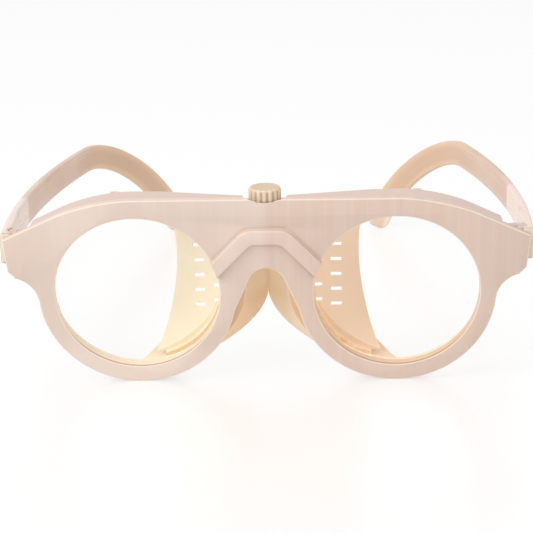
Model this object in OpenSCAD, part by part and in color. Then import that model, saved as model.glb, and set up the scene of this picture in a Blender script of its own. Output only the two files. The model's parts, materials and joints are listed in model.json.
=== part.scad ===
// Welding glasses: a two-part moulded frame that clamps two round lenses between
// its front and rear halves with one knurled knob, nose shields and hooked temples.
// Millimetres, +Z up, the glasses standing on their rings and temple tips.
// Shapes are drawn about the point midway between the lens centres on the front face:
// X runs to the wearer's left, Y runs back to the ears, and place() sets them down.

/* [Lenses] */
// Diameter of the standard round lens
lens_d = 50; // [48:0.5:52]
// Thickness of the lens
lens_t = 3; // [2:0.25:4]
// Distance between the two lens centres
lens_pitch = 74.4; // [72:0.2:78]
// Width of the lip that holds the lens on each side
lens_lip = 1.25; // [1:0.05:1.5]

/* [Front frame] */
// Thickness of the front plate
front_t = 3; // [2.6:0.1:3.4]
// Width of the ring round each opening
ring_w = 4.75; // [4.4:0.05:5.2]
// Lean of the front plate, top towards the front, in degrees
lean = 8; // [6:0.5:10]
// Height of the brow above the lens centres
brow_h = 29.1; // [28.6:0.1:30]
// Half width of the flat middle of the brow
brow_flat = 37.4; // [34:0.2:40]
// Radius of the brow where it starts to fall
brow_r = 54; // [48:1:60]
// Slope of the brow down to the lug, in degrees
brow_slope = 25; // [23:0.5:27]
// Distance from the middle to the outer edge of each lug
lug_reach = 74.8; // [74.4:0.1:75.2]
// Height of the lug's lower corner above the lens centres
lug_low = 7.4; // [6.8:0.1:7.6]
// Radius of the crown of the nose arch
arch_r = 5.3; // [4.8:0.1:5.6]
// Height of the arch's centre above the lens centres
arch_z = 2.5; // [2:0.1:3]
// Slope of the arch's flanks from the vertical, in degrees
arch_flare = 23; // [21:0.5:25]
// Height of the chevron rib's upper edge up the plate
rib_top = 20.2; // [19.8:0.1:20.6]
// Width of the rib
rib_w = 4.3; // [4:0.1:4.6]
// How far the rib stands proud of the plate
rib_proud = 1.4; // [1:0.1:1.8]

/* [Rear frame] */
// Thickness of the lip behind the lens
rear_lip = 1.5; // [1.3:0.1:2]
// How far inside the lens centre that lip ends, towards the nose
lip_in = 6.9; // [6:0.1:8]
// Thickness of the brow hood
hood_t = 2.4; // [2:0.1:3]
// Y of the hood's rear edge over the lenses
hood_back = 6.7; // [6.4:0.1:7.5]
// Y of the hood's rear edge beside the knob
hood_mid = 1.4; // [1.2:0.1:2]
// How far inside the lug's edge the hood ends
hood_in = 7; // [6.9:0.1:7.8]
// Wall of the nose shields
shield_t = 1.4; // [1.2:0.1:1.6]
// Radius of the vented shield's wall
vent_r = 28.6; // [28.2:0.1:29]
// Outward turn of the vented shield, in degrees
vent_turn = 48; // [46:0.5:50]
// Distance behind the front face of the vented shield's farthest edge
vent_back = 20.2; // [19.6:0.1:20.8]
// Radius of the nose lobe's wall
lobe_r = 27.5; // [27:0.1:28]
// Inward turn of the nose lobe, in degrees
lobe_turn = 42; // [40:0.5:44]
// Y of the rear end of the nose lobes
lobe_back = 17.9; // [17.5:0.1:18.4]
// Height of one vent slot
slot_h = 0.9; // [0.7:0.1:1.1]
// Slope of the slots down to the back, in degrees
slot_fall = 19; // [16:1:22]
// Length of one slot in the long column
slot_l = 3.2; // [2.8:0.1:3.4]
// Distance between vent slots
slot_pitch = 4.9; // [4.6:0.1:5]

/* [Clamp] */
// Outer diameter of the knob over its ribs
knob_d = 9.2; // [9:0.1:9.3]
// Height of the knob
knob_h = 4.2; // [3.8:0.1:4.6]
// Number of ribs round the knob
knob_ribs = 16; // [12:1:20]
// Diameter of the screw
screw_d = 3; // [2.8:0.1:3]
// Y of the screw's axis
screw_y = 1.2; // [1.1:0.1:1.4]
// Thickness of the washer
washer_t = 0.5; // [0.4:0.1:0.8]
// Diameter of the threaded insert
insert_d = 3.8; // [3.6:0.1:3.8]
// Length of the threaded insert
insert_l = 4.6; // [4:0.1:4.8]
// Half width of the tongue under the knob
tongue_half = 5.9; // [5.6:0.1:6.2]
// Thickness of the tongue
tongue_t = 2.2; // [2:0.1:2.4]

/* [Temples] */
// How far inside the lug's edge the hinge pins stand
pin_in = 3.5; // [3.2:0.1:3.6]
// Y of the hinge pins
pin_y = 8; // [7.9:0.1:8.3]
// Diameter of the hinge pins
pin_d = 2; // [1.8:0.1:2.2]
// Radius of the hinge knuckles
knuckle_r = 3.1; // [2.9:0.1:3.2]
// Height of the temple strip at the hinge
temple_h = 8.8; // [8:0.1:9]
// Height of the temple strip at the tip
tip_h = 8.2; // [7:0.1:8.6]
// Thickness of the temple strip
temple_t = 2.6; // [2.4:0.1:3]
// How far outside the pins the temple's middle line bows
bow_out = 4.9; // [4.8:0.1:5.4]
// Radius of the temple's outward bow
bow_r = 360; // [320:10:420]
// Y at which the temple is widest
bow_y = 35; // [30:1:40]
// Y at which the ear hook starts
hook_y = 120; // [114:1:124]
// Length of the ear hook along its middle line
hook_l = 62; // [58:0.5:64]
// Downward turn of the hook, in degrees
hook_fall = 70; // [64:1:74]
// Inward turn of the hook, in degrees
hook_curl = 68; // [60:1:74]
// Downward slope of the straight part, in degrees
temple_slope = 2.8; // [2.4:0.1:3.2]

/* [Hidden] */
$fn = 64;
fit_gap = 0.05;
free_gap = 0.3;
lens_gap = 0.1;
bore_gap = 0.04;
far = 200;
over_cut = 0.5;
crease = 0.05;

lens_x = lens_pitch / 2;
lens_r = lens_d / 2;
seat_r = lens_r + lens_gap;
opening_r = lens_r - lens_lip;
ring_r = opening_r + ring_w;
floor_z = -ring_r;
seat_depth = lens_t + lens_gap;
tab_turn = 60;
tab_half = 3;
rim_low = 8;
rear_t = seat_depth + rear_lip;
brow_fall_x = brow_flat + brow_r * sin(brow_slope);
brow_fall_z = brow_h - brow_r + brow_r * cos(brow_slope);
lug_top = brow_fall_z - (lug_reach - brow_fall_x) * tan(brow_slope);
hood_reach = lug_reach - hood_in;
pin_x = lug_reach - pin_in;
bow_reach = pin_x + bow_out;
lug_taper = 0.9;
lug_corner = 1.8;
fillet_r = 8.6;
fillet_z = -3;
fillet_x = lens_x + sqrt(pow(ring_r + fillet_r, 2) - pow(fillet_z, 2));
bridge_low = -8;
rib_arm = 47;
rib_flat = 4.2;
rib_reach = 18;
rib_round = 3;

lobe_crest_x = 8.6;
lobe_crest_y = 8;
lobe_z = -2;
lobe_low_z = -6.5;
lobe_high_z = 4;
lobe_round_r = 16.9;
vent_crest_x = 11;
vent_profile_r = 25.5;
vent_profile_z = -1.5;
vent_tip_x = 24.2;
vent_tip_z = 18.6;
foot_low = 12;
foot_depth = front_t + seat_depth - over_cut;
foot_start = -11.2;
foot_edge = [[foot_start, 12], [-6, 19.4], [-4, 15.1], [-2.6, 12.4], [-1.3, 9.5], [0.9, foot_depth]];
slot_rows = 5;
slot_x = 18.5;
slot_z = -11.7;
slot_near_rows = 2;
slot_near_x = 13.8;
slot_near_z = -7.8;
slot_near_l = 2.1;
hood_bend_x = 40;
hood_bend_l = 10;
hood_bend_rise = 0.4;
hood_corner_r = 4.5;
hood_corner_rise = 1.2;
nub_x = 43;
nub_l = 2.4;
nub_w = 1;
nub_h = 0.35;
nub_root = 2;

knob_r = knob_d / 2;
knob_rib_r = 0.62;
knob_rib_depth = 0.45;
knob_round_r = 0.9;
knob_dish_r = 25;
knob_dish_depth = 0.3;
dish_r = 10;
dish_rim_r = 6.5;
washer_r = 4.5;
spot_r = 4.75;
washer_sink = 2.4;
washer_z = brow_h - washer_sink;
tongue_z = washer_z - fit_gap - tongue_t;
knob_z = washer_z + washer_t;
tongue_tail = 5.2;
tongue_l = front_t + screw_y + tongue_tail;
boss_half = 6.4;
boss_tail = 5;
boss_l = front_t + screw_y + boss_tail;
boss_h = 10.9;
boss_low = brow_h - boss_h;
boss_nose_half = 4;
recess_d = 1.6;
boss_lift = 0.8;
screw_low = boss_low + boss_lift;
screw_grip = 2.9;
screw_r = screw_d / 2;
insert_r = insert_d / 2;
insert_z = tongue_z - fit_gap - insert_l;
slot_half = screw_r + free_gap;

ear_t = 2.3;
ear_low = lug_low + free_gap;
ear_top = lug_top - free_gap;
eye_low = ear_low + ear_t + bore_gap;
eye_top = ear_top - ear_t - bore_gap;
eye_web_half = 2.2;
eye_web_in = 0.7;
ear_root_x = hood_reach - hood_corner_r;
ear_root_y = 9;
pin_r = pin_d / 2;

temple_rise = 0.8;
temple_top = ear_top + temple_rise;
temple_front = 2.6;
root_back = 28;
root_extra = 0.5;
root_step = 0.4;
root_stations = 4;
strip_chamfer = 0.7;
bow_steps = 22;
hook_steps = 26;
tip_round = 3;
tip_taper = 0.9;

// Y of the middle of the whole object, from the chevron rib to the back of the hooks
temple_end_y = strip_points()[len(strip_points()) - 1][1];
rib_front_y = -(rib_top * sin(lean) + rib_proud * cos(lean));
middle_y = (rib_front_y + temple_end_y + temple_t / 2) / 2;

// Sets a shape down on the floor with the whole object centred on the origin
module place() {
    translate([0, -middle_y, -floor_z]) children();
}

// The same shape on both sides of the middle plane
module both_sides() {
    children();
    mirror([1, 0, 0]) children();
}

// Turns a front-view outline into a solid between two values of Y
module along_y(y0, y1) {
    translate([0, y1, 0]) rotate([90, 0, 0]) linear_extrude(y1 - y0) children();
}

// The leaning slab between two depths behind the front face
module slab(d0, d1) {
    rotate([lean, 0, 0]) translate([-far / 2, d0, -far / 2]) cube([far, d1 - d0, far]);
}

// A round hole or disc square to the leaning plate at a lens centre
module lens_disc(r, d0, d1) {
    rotate([lean, 0, 0]) translate([lens_x, d1, 0]) rotate([90, 0, 0])
        cylinder(r = r, h = d1 - d0);
}

// Half of the brow and lug, inset by g, without the ring
module brow_half(g) {
    edge = g / cos(brow_slope) + crease;
    fall_x = brow_fall_x - (brow_h - brow_fall_z + edge) / tan(brow_slope);
    intersection() {
        union() {
            translate([-1, bridge_low]) square([brow_flat + 1, brow_h - g - bridge_low]);
            translate([brow_flat, brow_h - brow_r]) circle(brow_r - g, $fn = 180);
            translate([brow_flat + (brow_r - g) * sin(brow_slope), bridge_low]) square(far);
        }
        polygon([
            [-1, bridge_low],
            [-1, brow_h],
            [fall_x, brow_h],
            [lug_reach - g, lug_top + g * tan(brow_slope) - edge],
            [lug_reach - lug_taper - g, lug_low + g],
            [lug_reach - lug_taper - lug_corner, fillet_z + fillet_r + g / 2],
            [lens_x + ring_r, fillet_z],
            [lens_x, bridge_low]
        ]);
    }
}

// The shape of the nose arch, widened by g
module arch(g) {
    r = arch_r + g;
    touch_x = (r - crease) * cos(arch_flare);
    touch_z = arch_z + (r - crease) * sin(arch_flare);
    low_x = touch_x + (touch_z + brow_h) * tan(arch_flare);
    translate([0, arch_z]) circle(r);
    polygon([[-touch_x, touch_z], [touch_x, touch_z], [low_x, -brow_h], [-low_x, -brow_h]]);
}

// The front-view outline of the frame without its openings, inset by g
module outline(g) {
    difference() {
        both_sides_flat() difference() {
            brow_half(g);
            translate([fillet_x, fillet_z]) circle(fillet_r + g);
        }
        arch(g);
    }
    both_sides_flat() translate([lens_x, 0]) circle(ring_r - g, $fn = 128);
}

// The same for a flat outline
module both_sides_flat() {
    children();
    mirror([1, 0]) children();
}

// The rear frame's outline: the same, cut short of the lugs with rounded corners
module rear_outline(g) {
    reach = hood_reach - g;
    round_z = lug_top + hood_corner_rise;
    intersection() {
        outline(g);
        union() {
            translate([-reach, -far / 2]) square([2 * reach, far / 2 + round_z]);
            both_sides_flat() translate([reach - hood_corner_r, round_z]) circle(hood_corner_r);
            translate([hood_corner_r - reach, 0]) square([2 * (reach - hood_corner_r), far / 2]);
        }
    }
}

// Half of the chevron rib's outline, running down past the opening's edge
module rib_half() {
    low = rib_top - rib_w;
    top_x = rib_flat + rib_w * tan(rib_arm / 2);
    fall = rib_reach * tan(rib_arm);
    polygon([
        [-0.01, low],
        [rib_flat, low],
        [rib_flat + rib_reach, low - fall],
        [top_x + rib_reach, rib_top - fall],
        [top_x + rib_round / 2, rib_top - rib_round / 2 * tan(rib_arm)],
        [top_x - rib_round, rib_top],
        [-0.01, rib_top]
    ]);
}

// The shallow dish and the flat spot for the washer, cut from the top of both halves
module clamp_dish() {
    dish_z = brow_h + sqrt(pow(dish_r, 2) - pow(dish_rim_r, 2));
    translate([0, screw_y, dish_z]) sphere(dish_r);
    translate([0, screw_y, washer_z - fit_gap]) cylinder(r = spot_r, h = far);
}

module front_frame() {
    place() color([0.88, 0.81, 0.76]) difference() {
        union() {
            intersection() {
                along_y(-far / 4, far / 4) outline(0);
                slab(0, front_t);
            }
            rotate([lean, 0, 0]) along_y(-rib_proud, front_t / 2) both_sides_flat() rib_half();
            front_tongue();
        }
        both_sides() lens_disc(opening_r, -far / 4, far / 4);
        clamp_dish();
        screw_slot();
        front_recess();
    }
}

// The tongue that reaches back under the knob
module front_tongue() {
    difference() {
        translate([-tongue_half, -front_t, tongue_z]) cube([2 * tongue_half, tongue_l, tongue_t]);
        slab(-far / 4, front_t / 2);
    }
}

// The slot that lets the tongue slide off the screw, open at the back
module screw_slot() {
    translate([0, screw_y, tongue_z - 1]) cylinder(r = slot_half, h = brow_h);
    translate([-slot_half, screw_y, tongue_z - 1]) cube([2 * slot_half, far / 4, brow_h]);
}

// One half's nose shield: a vented wall turned outwards and a lobe turned inwards
module nose_shield() {
    difference() {
        union() {
            rotate([lean, 0, 0]) vented_wall();
            rotate([lean, 0, 0]) shield_foot();
            nose_lobe();
        }
        slab(-far / 4, front_t + fit_gap);
    }
}

// A tube wall turned about Z whose nasal edge passes x = crest at the depth y
module turned_wall(r, turn, crest, y) {
    translate([crest + r / cos(turn), y, 0]) rotate([0, 0, -turn]) rotate([-90, 0, 0])
        translate([0, 0, -far / 4]) difference() {
            cylinder(r = r, h = far / 2, $fn = 128);
            translate([0, 0, -1]) cylinder(r = r - shield_t, h = far / 2 + 2, $fn = 128);
        }
}

// The low wall, square to the plate, that takes the vented wall's edge down to the rim.
// Its plan is measured from the lens centre: how far out and how deep its rear edge lies
module shield_foot() {
    difference() {
        intersection() {
            bore(seat_r + shield_t);
            translate([lens_x, 0, -far / 2]) linear_extrude(far / 2 - foot_low)
                polygon(concat([[foot_start, foot_depth]], foot_edge));
        }
        bore(opening_r + crease);
        intersection() {
            bore(seat_r);
            past_lip();
        }
    }
}

// A long cylinder about the lens centre, in the plate's frame
module bore(r) {
    translate([lens_x, far / 4, 0]) rotate([90, 0, 0]) cylinder(r = r, h = far / 2, $fn = 128);
}

// All that lies farther out than the end of the lip
module past_lip() {
    translate([lens_x - lip_in, -far / 2, -far / 2]) cube(far);
}

// Behind the lens the lip stays on the nasal side and as one tab above
module open_back() {
    rotate([lean, 0, 0]) difference() {
        intersection() {
            translate([0, front_t + rear_t + over_cut - far / 4, 0]) bore(seat_r);
            past_lip();
        }
        translate([lens_x, 0, 0]) rotate([0, -tab_turn, 0]) translate([opening_r - over_cut, 0, -tab_half])
            cube([lens_lip + 2 * over_cut, far / 4, 2 * tab_half]);
    }
}

// Below the lens the rim is no deeper than the seat
module thin_rim() {
    rotate([lean, 0, 0]) translate([lens_x - lip_in, front_t + seat_depth, -far / 2])
        cube([far / 2, far / 4, far / 2 - rim_low]);
}

// Drawn square to the plate: its rear edge is a round arc seen from the side
module vented_wall() {
    difference() {
        intersection() {
            turned_wall(vent_r, vent_turn, vent_crest_x, front_t + rear_t);
            translate([0, vent_back - vent_profile_r, vent_profile_z]) rotate([0, 90, 0])
                cylinder(r = vent_profile_r, h = lens_x, $fn = 128);
        }
        vent_slots();
        translate([vent_tip_x, 0, vent_tip_z]) cube([lens_x, vent_back, lens_x]);
    }
}

// Its rear edge is straight in the middle and rounded forwards at both ends
module nose_lobe() {
    intersection() {
        translate([0, 0, lobe_z]) turned_wall(lobe_r, -lobe_turn, lobe_crest_x, lobe_crest_y);
        union() {
            for (z = [lobe_low_z, lobe_high_z])
                translate([0, lobe_back - lobe_round_r, z]) rotate([0, 90, 0])
                    cylinder(r = lobe_round_r, h = lens_x);
            translate([0, 0, lobe_low_z]) cube([lens_x, lobe_back, lobe_high_z - lobe_low_z]);
        }
    }
}

// Two columns of slots, which fall to the back so that drops run off and air passes
module vent_slots() {
    slot_row(slot_x, slot_z, slot_l, slot_rows);
    slot_row(slot_near_x, slot_near_z, slot_near_l, slot_near_rows);
}

// A column of slots, each cut through the point where its middle meets the wall
module slot_row(x, z, l, rows) {
    depth = front_t + rear_t + (x + l / 2 - vent_crest_x) / tan(vent_turn);
    for (i = [0 : rows - 1])
        translate([x, depth, z + i * slot_pitch]) rotate([-lean - slot_fall, 0, 0])
            translate([0, -far / 8, -slot_h / 2]) cube([l, far / 4, slot_h]);
}

// Half of the plan of the hood: its rear edge curves forward towards the knob
module hood_plan() {
    polygon([
        [-1, -far / 4],
        [-1, hood_mid],
        [boss_half, hood_mid],
        [hood_bend_x - hood_bend_l, hood_back - hood_bend_rise],
        [hood_bend_x, hood_back],
        [far / 2, hood_back],
        [far / 2, -far / 4]
    ]);
}

module hood() {
    intersection() {
        difference() {
            along_y(-far / 4, far / 4) intersection() {
                difference() {
                    rear_outline(free_gap);
                    rear_outline(free_gap + hood_t);
                }
                translate([-far / 2, ear_low]) square([far, far / 2]);
            }
            slab(-far / 4, front_t);
        }
        translate([0, 0, -far / 4]) linear_extrude(far / 2) both_sides_flat() hood_plan();
    }
}

// The boss below the tongue; its narrow nose sits in the front frame's recess
module boss() {
    height = tongue_z - fit_gap - boss_low;
    intersection() {
        translate([-boss_half, -front_t, boss_low]) cube([2 * boss_half, boss_l, height]);
        slab(front_t, far / 4);
    }
    intersection() {
        translate([-boss_nose_half, -front_t, boss_low]) cube([2 * boss_nose_half, 2 * front_t, height]);
        slab(front_t - recess_d + free_gap, front_t + rear_lip);
    }
}

// The bore that holds the insert, and the screw's way out below it
module boss_cuts() {
    translate([0, screw_y, boss_low - 1]) cylinder(r = screw_r + free_gap, h = brow_h);
    translate([0, screw_y, insert_z]) cylinder(r = insert_r, h = brow_h);
}

// The pocket behind the brow plate that takes the boss's nose
module front_recess() {
    half = boss_nose_half + free_gap;
    height = tongue_z - boss_low + free_gap;
    intersection() {
        translate([-half, -front_t, boss_low - free_gap]) cube([2 * half, 2 * front_t, height]);
        slab(front_t - recess_d, front_t + 1);
    }
}

// The pair of ears that carries one hinge pin
module ears() {
    for (z = [ear_low, ear_top - ear_t]) {
        translate([pin_x, pin_y, z]) cylinder(r = knuckle_r, h = ear_t);
        difference() {
            translate([ear_root_x, 0, z]) cube([pin_x - ear_root_x, ear_root_y, ear_t]);
            slab(-far / 4, front_t + fit_gap);
        }
    }
}

module rear_plate() {
    difference() {
        intersection() {
            along_y(-far / 4, far / 4) rear_outline(free_gap);
            slab(front_t, front_t + rear_t);
            plate_reach();
        }
        both_sides() thin_rim();
    }
}

module rear_frame() {
    place() color([0.90, 0.80, 0.68]) difference() {
        union() {
            rear_plate();
            hood();
            boss();
            both_sides() nose_shield();
            both_sides() ears();
            both_sides() translate([nub_x - nub_l / 2, hood_back - nub_w, brow_h - nub_root])
                cube([nub_l, nub_w, brow_drop(nub_x) + nub_root - free_gap + nub_h]);
        }
        both_sides() lens_disc(opening_r, -far / 4, front_t + rear_t + over_cut);
        both_sides() lens_disc(seat_r, -far / 4, front_t + seat_depth);
        both_sides() open_back();
        translate([-tongue_half - free_gap, -far / 4, tongue_z - fit_gap])
            cube([2 * (tongue_half + free_gap), far / 2, brow_h]);
        clamp_dish();
        boss_cuts();
        both_sides() translate([pin_x, pin_y, 0]) cylinder(r = pin_r, h = far / 4);
    }
}

// Height of the brow's top at x, taken from the flat middle
function brow_drop(x) = sqrt(pow(brow_r, 2) - pow(x - brow_flat, 2)) - brow_r;

// The rear plate is whole up to the tongue; above it the top edge follows the hood's plan
module plate_reach() {
    translate([-far / 2, -far / 2, -far / 2]) cube([far, far, far / 2 + tongue_z]);
    linear_extrude(far / 2) both_sides_flat() hood_plan();
}

module left_lens() {
    place() color([0.9, 0.95, 0.95, 0.35]) mirror([1, 0, 0])
        lens_disc(lens_r, front_t + lens_gap, front_t + seat_depth);
}

module right_lens() {
    place() color([0.9, 0.95, 0.95, 0.35]) lens_disc(lens_r, front_t + lens_gap, front_t + seat_depth);
}

module clamp_knob() {
    place() translate([0, screw_y, knob_z]) color([0.91, 0.82, 0.71]) difference() {
        intersection() {
            union() {
                cylinder(r = knob_r - knob_rib_depth, h = knob_h);
                for (i = [0 : knob_ribs - 1])
                    rotate([0, 0, i * 360 / knob_ribs]) translate([knob_r - knob_rib_r, 0, 0])
                        cylinder(r = knob_rib_r, h = knob_h, $fn = 24);
            }
            rotate_extrude() {
                square([knob_r, knob_h - knob_round_r]);
                square([knob_r - knob_round_r, knob_h]);
                translate([knob_r - knob_round_r, knob_h - knob_round_r]) circle(knob_round_r);
            }
        }
        translate([0, 0, knob_h + knob_dish_r - knob_dish_depth]) sphere(knob_dish_r);
        translate([0, 0, -1]) cylinder(r = screw_r, h = screw_grip + 1);
    }
}

module clamp_screw() {
    place() translate([0, screw_y, screw_low]) color([0.62, 0.62, 0.63])
        cylinder(r = screw_r, h = knob_z + screw_grip - screw_low);
}

module clamp_washer() {
    place() translate([0, screw_y, washer_z]) color([0.68, 0.68, 0.69]) difference() {
        cylinder(r = washer_r, h = washer_t);
        translate([0, 0, -1]) cylinder(r = screw_r + bore_gap, h = washer_t + 2);
    }
}

module clamp_insert() {
    place() translate([0, screw_y, insert_z]) color([0.78, 0.66, 0.36]) difference() {
        cylinder(r = insert_r, h = insert_l);
        translate([0, 0, -1]) cylinder(r = screw_r + bore_gap, h = insert_l + 2);
    }
}

// Middle line of the right temple. The straight part bows in plan and falls gently
function bow_yaw(y) = asin((y - bow_y) / bow_r);
function bow_point(y) = [
    bow_reach - bow_r + sqrt(pow(bow_r, 2) - pow(y - bow_y, 2)),
    y,
    temple_top - temple_h / 2 - (y - temple_front) * tan(temple_slope)
];
function heading(yaw, fall) = [-sin(yaw) * cos(fall), cos(yaw) * cos(fall), -sin(fall)];

// The hook turns down and inwards at the same even rate
function hook_yaw(f) = bow_yaw(hook_y) + hook_curl * f;
function hook_pitch(f) = temple_slope + hook_fall * f;
function hook_step(f) = hook_l / hook_steps * heading(hook_yaw(f), hook_pitch(f));
function hook_point(i) = i == 0 ? bow_point(hook_y)
    : hook_point(i - 1) + hook_step((i - 0.5) / hook_steps);

function strip_points() = concat(
    [for (i = [0 : bow_steps]) bow_point(station_y(i))],
    [for (i = [1 : hook_steps]) hook_point(i)]
);
function strip_angles() = concat(
    [for (i = [0 : bow_steps]) [bow_yaw(station_y(i)), temple_slope]],
    [for (i = [1 : hook_steps]) [hook_yaw(i / hook_steps), hook_pitch(i / hook_steps)]]
);

// Stations of the straight part: the root's, a short step, then even spacing
function station_y(i) = i <= root_stations
    ? temple_front + i * (root_back - temple_front) / root_stations
    : root_back + root_step + (i - root_stations - 1)
        * (hook_y - root_back - root_step) / (bow_steps - root_stations - 1);
function station_extra(i) = i <= root_stations ? root_extra : 0;

// Height of the strip at a station, tapering to the tip and rounded off at its end
function strip_height(i) = let (
        n = bow_steps + hook_steps,
        left = (n - i) * hook_l / hook_steps,
        even = temple_h + (tip_h - temple_h) * i / n
    ) left < tip_round ? even * sqrt(1 - pow(tip_taper * (1 - left / tip_round), 2)) : even;

// Eight corners of the chamfered strip at one station
function strip_ring(p, yaw, fall, t, h) = let (
        out = [cos(yaw), sin(yaw), 0],
        up = [-sin(yaw) * sin(fall), cos(yaw) * sin(fall), cos(fall)],
        a = t / 2,
        b = h / 2,
        c = strip_chamfer,
        half = [[a, b - c], [a - c, b], [c - a, b], [-a, b - c]]
    ) [for (side = [1, -1]) for (q = half) p + side * (q[0] * out + q[1] * up)];

module temple_strip() {
    points = strip_points();
    angles = strip_angles();
    n = len(points) - 1;
    rings = [for (i = [0 : n]) let (extra = station_extra(i))
        strip_ring(points[i] - [extra / 2, 0, 0], angles[i][0], angles[i][1],
            temple_t + extra, strip_height(i))];
    sides = [for (i = [0 : n - 1]) for (k = [0 : 7]) for (face = [
        [8 * i + k, 8 * i + (k + 1) % 8, 8 * (i + 1) + k],
        [8 * i + (k + 1) % 8, 8 * (i + 1) + (k + 1) % 8, 8 * (i + 1) + k]
    ]) face];
    polyhedron(
        points = [for (ring = rings) for (q = ring) q],
        faces = concat([[7, 6, 5, 4, 3, 2, 1, 0]], sides, [[for (k = [0 : 7]) 8 * n + k]])
    );
}

// The right temple: the strip, clear of the knuckles, and the eye on the pin
module temple_shape() {
    difference() {
        union() {
            difference() {
                temple_strip();
                translate([pin_x, pin_y, 0]) cylinder(r = knuckle_r + free_gap, h = far / 4);
                translate([-far / 2, -far / 4, floor_z - far]) cube([far, far * 2, far]);
            }
            translate([pin_x, pin_y, eye_low]) cylinder(r = knuckle_r, h = eye_top - eye_low);
            translate([pin_x, pin_y - eye_web_half, eye_low])
                cube([bow_reach - eye_web_in - pin_x, 2 * eye_web_half, eye_top - eye_low]);
        }
        translate([pin_x, pin_y, 0]) cylinder(r = pin_r + bore_gap, h = far / 4);
    }
}

module right_temple() {
    place() color([0.89, 0.78, 0.72]) temple_shape();
}

module left_temple() {
    place() color([0.83, 0.71, 0.65]) mirror([1, 0, 0]) temple_shape();
}

module pin_shape() {
    translate([pin_x, pin_y, ear_low]) cylinder(r = pin_r, h = ear_top - ear_low);
}

module right_hinge_pin() {
    place() color([0.7, 0.7, 0.71]) pin_shape();
}

module left_hinge_pin() {
    place() color([0.7, 0.7, 0.71]) mirror([1, 0, 0]) pin_shape();
}

front_frame();
rear_frame();
left_lens();
right_lens();
clamp_knob();
clamp_screw();
clamp_washer();
clamp_insert();
left_temple();
right_temple();
left_hinge_pin();
right_hinge_pin();
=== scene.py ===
# Welding glasses on a white studio floor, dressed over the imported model.
# Pieces are modelled in millimetres about the point midway between the two lens centres on the
# front face, as the source of the part draws them, and settle() brings them to metres on the floor.
import json
import math

import bpy
from mathutils import Matrix, Vector


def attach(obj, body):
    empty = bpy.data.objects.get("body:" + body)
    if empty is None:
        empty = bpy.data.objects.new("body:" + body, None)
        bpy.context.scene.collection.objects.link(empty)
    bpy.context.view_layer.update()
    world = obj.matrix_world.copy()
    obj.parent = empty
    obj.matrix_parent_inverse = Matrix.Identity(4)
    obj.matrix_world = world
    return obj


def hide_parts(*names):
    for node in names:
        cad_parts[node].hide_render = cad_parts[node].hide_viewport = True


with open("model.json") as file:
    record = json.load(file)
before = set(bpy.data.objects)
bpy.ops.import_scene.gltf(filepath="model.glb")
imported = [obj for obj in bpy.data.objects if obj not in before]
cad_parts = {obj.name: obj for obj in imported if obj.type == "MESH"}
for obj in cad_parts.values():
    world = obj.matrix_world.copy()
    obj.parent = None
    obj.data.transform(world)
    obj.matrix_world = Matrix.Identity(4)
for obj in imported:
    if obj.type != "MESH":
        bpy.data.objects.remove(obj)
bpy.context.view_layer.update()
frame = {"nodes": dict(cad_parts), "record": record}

# The plate, in millimetres: it leans back, and the brow is flat, then round, then falls to the lugs
MIDDLE_Y = 74.7736
FLOOR_Z = -28.5
LEAN = math.radians(8)
BOTH = (1, -1)
LENS_X = 37.2
RING_R = 28.5
OPENING_R = 23.75
FRONT_T = 3
BROW_H = 29.1
BROW_FLAT = 37.4
BROW_R = 54
BROW_SLOPE = math.radians(25)
LUG_REACH = 74.8
# The lens's back face and the last of its rim lie deeper behind the front face than this
LENS_BACK = 5.5

# The clamp's knob, whose axis stands just behind the front face
SCREW_Y = 1.2
KNOB_R = 4.6
KNOB_LOW = 27.2
KNOB_TOP = 31.4

# The temples: a strip bowed in plan, which turns inwards and down at its hook
BOW_R = 360
BOW_Y = 35
BOW_REACH = 76.2
ROOT_BACK = 28
ROOT_STEPS = 5
STRAIGHT_STEPS = 19
HOOK_Y = 120
HOOK_L = 62
HOOK_STEPS = 26
HOOK_YAW = math.radians(68)
HOOK_FALL = math.radians(70)
STRIP_T = 2.6
STRIP_H = 8.8
TIP_H = 8.2
STRIP_FRONT = 2.6
STRIP_TOP = 17.7425
TEMPLE_SLOPE = math.radians(2.8)
PIN = Vector((71.3, 8, 0))


class Wire:
    """One output of a material's nodes, which can stand in sums, products and comparisons."""

    def __init__(self, finish, socket):
        self.finish = finish
        self.socket = socket

    def maths(self, operation, first, second=0.0):
        return self.finish.node("ShaderNodeMath", {"operation": operation}, {0: first, 1: second})

    def size(self):
        """The value without its sign."""
        return self.maths("ABSOLUTE", self)

    def most(self, other):
        """The larger of the two."""
        return self.maths("MAXIMUM", self, other)

    def __add__(self, other):
        return self.maths("ADD", self, other)

    __radd__ = __add__

    def __mul__(self, other):
        return self.maths("MULTIPLY", self, other)

    def __sub__(self, other):
        return self.maths("SUBTRACT", self, other)

    def __rsub__(self, other):
        return self.maths("SUBTRACT", other, self)

    def __pow__(self, other):
        return self.maths("POWER", self, other)

    def __gt__(self, other):
        return self.maths("GREATER_THAN", self, other)

    def __lt__(self, other):
        return self.maths("LESS_THAN", self, other)


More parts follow.
